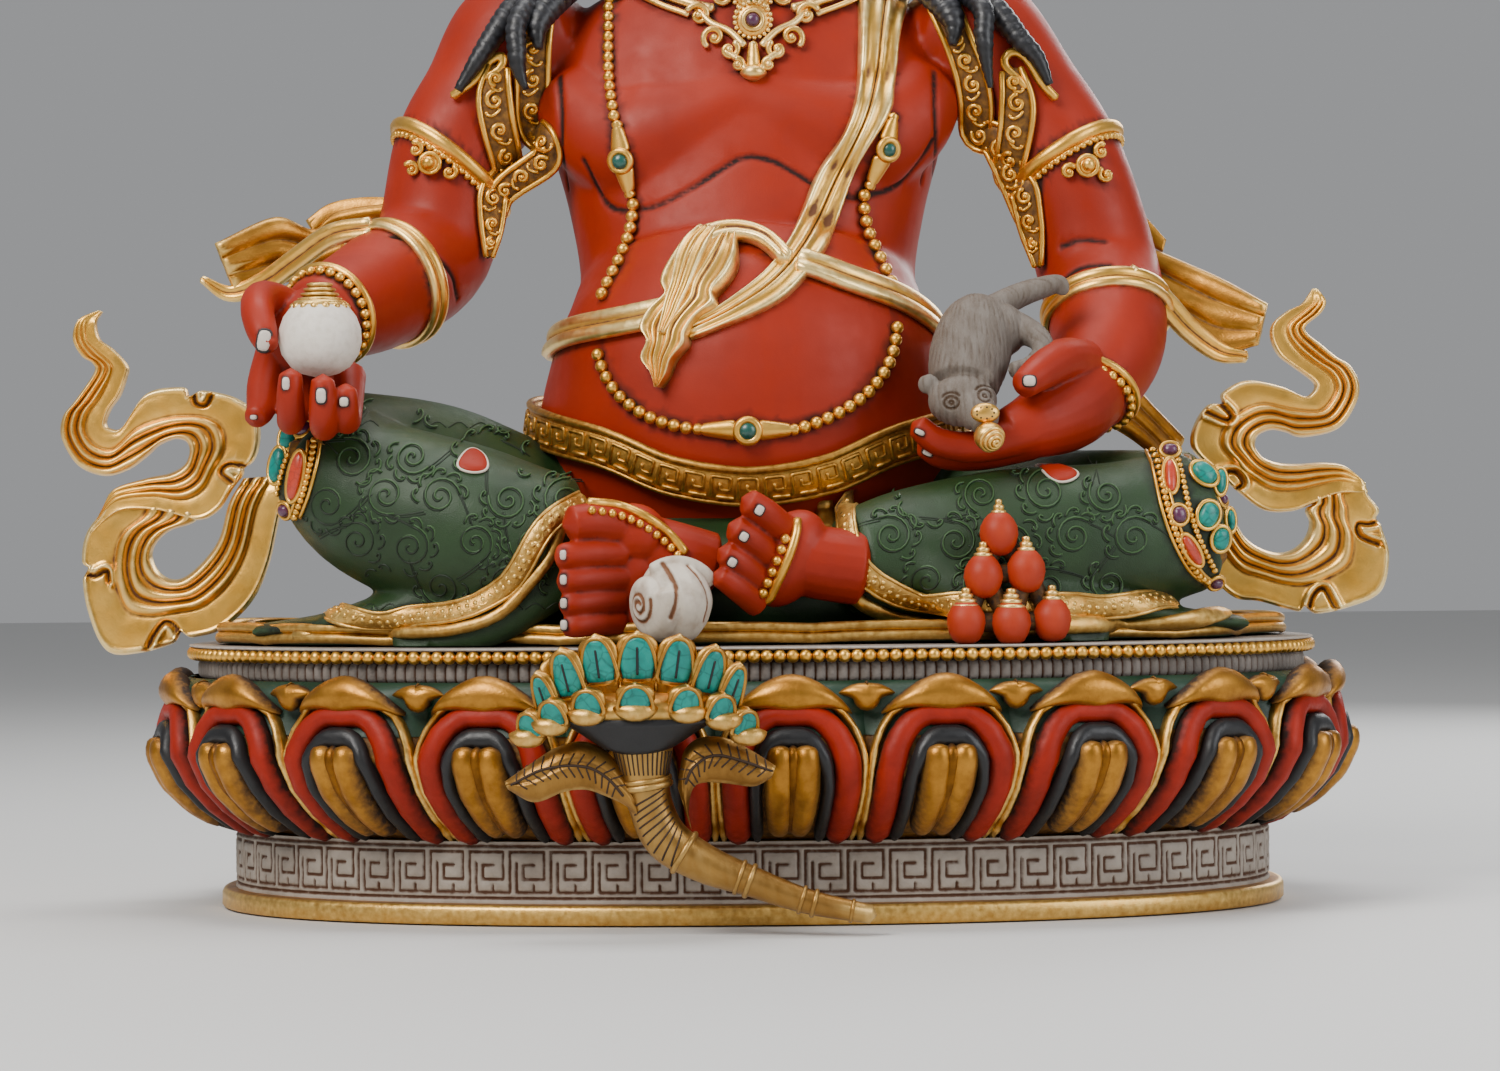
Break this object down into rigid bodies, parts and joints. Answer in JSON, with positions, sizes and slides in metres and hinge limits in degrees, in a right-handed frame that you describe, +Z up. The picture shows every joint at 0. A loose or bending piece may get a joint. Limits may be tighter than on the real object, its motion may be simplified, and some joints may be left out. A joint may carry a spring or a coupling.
{
  "type": "jambhala statue",
  "caption": "Seated wealth deity on an oval lotus pedestal, painted and gilded cast copper, with fluttering ribbons, gem, mongoose, conch and jewels.",
  "frame": {"origin": "centre of the pedestal's underside", "axes": "+Z up, -Y the way the figure faces, +X towards the viewer's right"},
  "size_m": [0.3341, 0.2255, 0.3362],
  "materials": {
    "lotus_paint": "gilded and painted copper, dark wash in the recesses",
    "red_paint": "satin paint over cast copper",
    "gilt": "fire gilding with a brown wash, satin",
    "stem_brass": "aged gilding with engraved strokes",
    "white_paint": "matt paint with a brown wash",
    "jewel_red": "satin paint, gilded caps",
    "grey_paint": "matt paint with brushed fur strokes"
  },
  "bodies": {
    "root": {"lotus_base": "lotus_paint", "figure": "red_paint", "ribbon_left": "gilt", "ribbon_right": "gilt", "lotus_footrest": "stem_brass", "conch_shell": "white_paint", "jewel_pile": "jewel_red", "wish_jewel": "white_paint", "mongoose": "grey_paint"}
  },
  "joints": []
}
